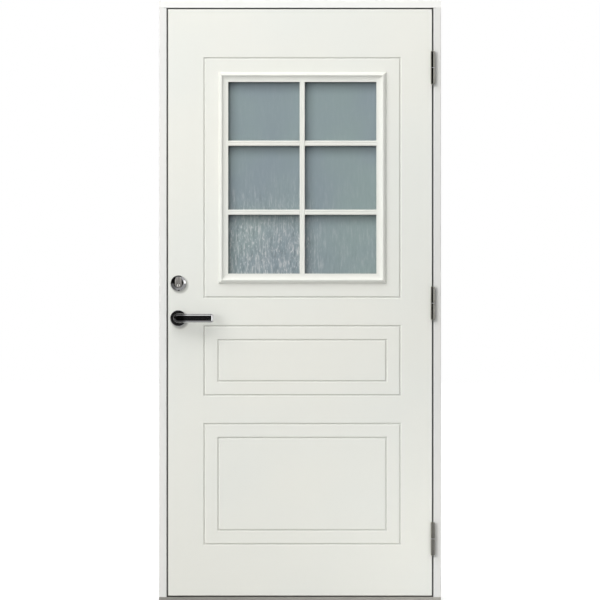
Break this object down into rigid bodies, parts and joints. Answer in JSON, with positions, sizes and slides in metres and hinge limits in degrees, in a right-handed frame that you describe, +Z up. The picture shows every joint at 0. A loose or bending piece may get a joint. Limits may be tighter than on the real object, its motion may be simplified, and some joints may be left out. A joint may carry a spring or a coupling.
{
  "type": "front door with frame",
  "caption": "Outward opening insulated front door leaf with a barred window, hung on lift-off hinges in its frame, with a lever handle, latch, deadbolt and threshold.",
  "frame": {"origin": "middle of the threshold's underside", "axes": "+X to the hinge side as seen from outside, -Y towards the outside, +Z up"},
  "size_m": [0.98, 0.172, 2.09],
  "materials": {
    "white_paint": "satin paint on wood",
    "timber": "planed pine",
    "oak": "oiled hardwood",
    "foam": "rigid foam",
    "obscure_glass": "rippled obscure glass",
    "clear_glass": "clear float glass",
    "spacer": "mill finish",
    "sill_aluminium": "matt anodised",
    "seal": "black seal",
    "chrome": "polished",
    "satin_nickel": "satin",
    "steel": "zinc plated"
  },
  "bodies": {
    "frame": {"frame_head": "white_paint", "frame_lock_jamb": "white_paint", "frame_hinge_jamb": "white_paint", "threshold": "oak", "threshold_cover": "sill_aluminium", "frame_gasket": "seal", "threshold_gasket": "seal", "strike_plate": "satin_nickel", "strike_screws": "steel", "hinge_bottom_frame_half": "satin_nickel", "hinge_middle_frame_half": "satin_nickel", "hinge_top_frame_half": "satin_nickel", "hinge_pins": "steel", "hinge_washers": "steel", "hinge_frame_screws": "steel"},
    "leaf": {"outer_skin": "white_paint", "inner_skin": "white_paint", "lock_stile": "white_paint", "hinge_stile": "white_paint", "top_rail": "white_paint", "bottom_rail": "white_paint", "lock_block": "white_paint", "window_rails": "timber", "window_posts": "timber", "insulation_core": "foam", "glass_outer": "obscure_glass", "glass_middle": "clear_glass", "glass_inner": "clear_glass", "glass_spacers": "spacer", "outer_moulding_top": "white_paint", "outer_moulding_bottom": "white_paint", "outer_moulding_left": "white_paint", "outer_moulding_right": "white_paint", "inner_mouldings": "white_paint", "glazing_bar_upright": "white_paint", "glazing_bar_lower": "white_paint", "glazing_bar_upper": "white_paint", "lock_case": "steel", "lock_case_cover": "steel", "lock_forend": "satin_nickel", "forend_screws": "steel", "cylinder_body": "satin_nickel", "cylinder_ring": "chrome", "outer_rosette": "chrome", "inner_rosette": "chrome", "thumbturn_rose": "chrome", "hinge_bottom_leaf_half": "satin_nickel", "hinge_middle_leaf_half": "satin_nickel", "hinge_top_leaf_half": "satin_nickel", "hinge_leaf_screws": "steel"},
    "handle": {"lever_outer": "chrome", "lever_inner": "chrome", "spindle": "steel", "follower": "steel"},
    "latch": {"latch_bolt": "satin_nickel"},
    "deadbolt": {"deadbolt": "satin_nickel"},
    "bolt_turner": {"bolt_cam": "steel", "key_plug": "satin_nickel", "thumbturn": "chrome"}
  },
  "joints": [
    {"name": "leaf_swing", "type": "hinge", "parent": "frame", "child": "leaf", "pos_m": [0.46125, -0.066, 0], "axis": [0, 0, 1], "range_deg": [0, 175]},
    {"name": "handle_turn", "type": "hinge", "parent": "leaf", "child": "handle", "pos_m": [-0.4225, -0.0265, 0.985], "axis": [0, 1, 0], "range_deg": [0, 40], "stiffness_Nm_per_rad": 1.5, "springref_deg": -11.46},
    {"name": "latch_slide", "type": "slide", "parent": "leaf", "child": "latch", "axis": [1, 0, 0], "range_m": [0, 0.012]},
    {"name": "thumbturn_turn", "type": "hinge", "parent": "leaf", "child": "bolt_turner", "pos_m": [-0.4225, -0.0265, 1.0985], "axis": [0, -1, 0], "range_deg": [0, 90]},
    {"name": "deadbolt_slide", "type": "slide", "parent": "leaf", "child": "deadbolt", "axis": [-1, 0, 0], "range_m": [0, 0.014]}
  ],
  "couplings": [
    {"joint": "latch_slide", "follows": "handle_turn", "m_per_rad": 0.017189},
    {"joint": "deadbolt_slide", "follows": "thumbturn_turn", "m_per_rad": 0.0089127}
  ]
}
